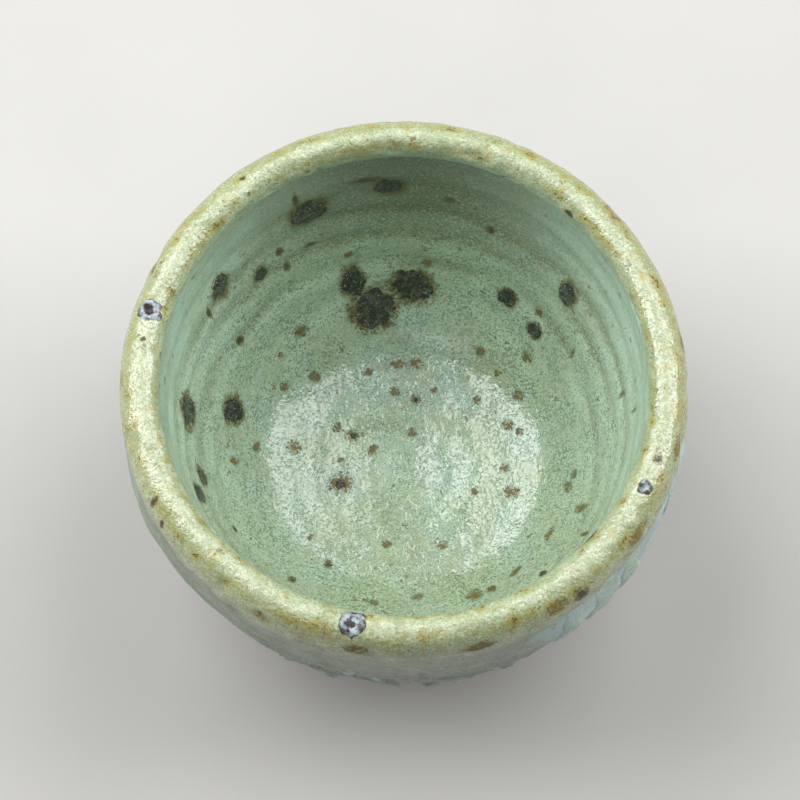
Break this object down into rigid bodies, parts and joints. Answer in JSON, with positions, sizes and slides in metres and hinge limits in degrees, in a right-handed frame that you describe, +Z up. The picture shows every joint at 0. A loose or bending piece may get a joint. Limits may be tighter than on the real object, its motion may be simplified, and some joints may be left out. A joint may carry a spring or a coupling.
{
  "type": "yunomi teacup",
  "caption": "Low hand-thrown stoneware teacup with a thick rounded lip, ash glaze with iron spots, throwing rings inside and a bare turned foot ring.",
  "frame": {"origin": "on the table at the middle of the foot ring", "axes": "+Z up along the turning axis, -Y towards the viewer of the picture, +X to the viewer's right"},
  "size_m": [0.0838, 0.0836, 0.0573],
  "materials": {
    "stoneware": "matte",
    "celadon_glaze": "gloss",
    "lip_glaze": "gloss",
    "outer_glaze": "satin",
    "iron": "satin",
    "stone": "matte",
    "pale_run": "gloss"
  },
  "bodies": {
    "root": {"clay_body": "stoneware", "inner_glaze": "celadon_glaze", "lip_glaze": "lip_glaze", "outer_glaze": "outer_glaze", "iron_spots": "iron", "lip_stones": "stone", "glaze_runs": "pale_run", "glaze_beads": "outer_glaze"}
  },
  "joints": []
}
